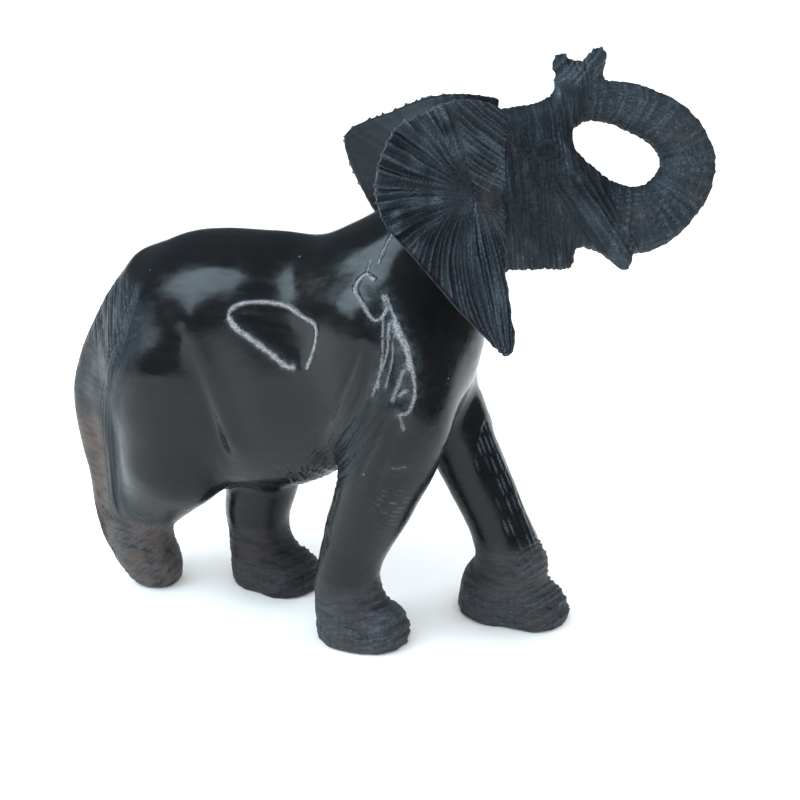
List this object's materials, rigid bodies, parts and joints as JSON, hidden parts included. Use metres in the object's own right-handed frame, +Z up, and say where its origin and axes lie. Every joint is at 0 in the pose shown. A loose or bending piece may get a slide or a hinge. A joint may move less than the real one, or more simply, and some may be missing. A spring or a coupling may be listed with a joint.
{
  "type": "elephant figurine",
  "caption": "Carved dark hardwood elephant walking, with its trunk raised and curled back to the forehead, ribbed ears and a polished body.",
  "frame": {"origin": "centre of the figure's box, on the plane that its soles stand on", "axes": "+X along the walk towards the head, +Y to the elephant's left, +Z up"},
  "size_m": [0.2158, 0.0784, 0.1969],
  "materials": {
    "polished_hardwood": "near-black hardwood, waxed and buffed to a gloss",
    "carved_hardwood": "near-black hardwood left from the tool, matte slate grey on the ridges",
    "dowel_wood": "plain light wood, inside the joints"
  },
  "bodies": {
    "root": {"body": "polished_hardwood", "head": "carved_hardwood", "right_ear": "carved_hardwood", "left_ear": "carved_hardwood", "neck_dowel_upper": "dowel_wood", "neck_dowel_lower": "dowel_wood", "right_ear_dowel_upper": "dowel_wood", "right_ear_dowel_lower": "dowel_wood", "left_ear_dowel_upper": "dowel_wood", "left_ear_dowel_lower": "dowel_wood"}
  },
  "joints": []
}
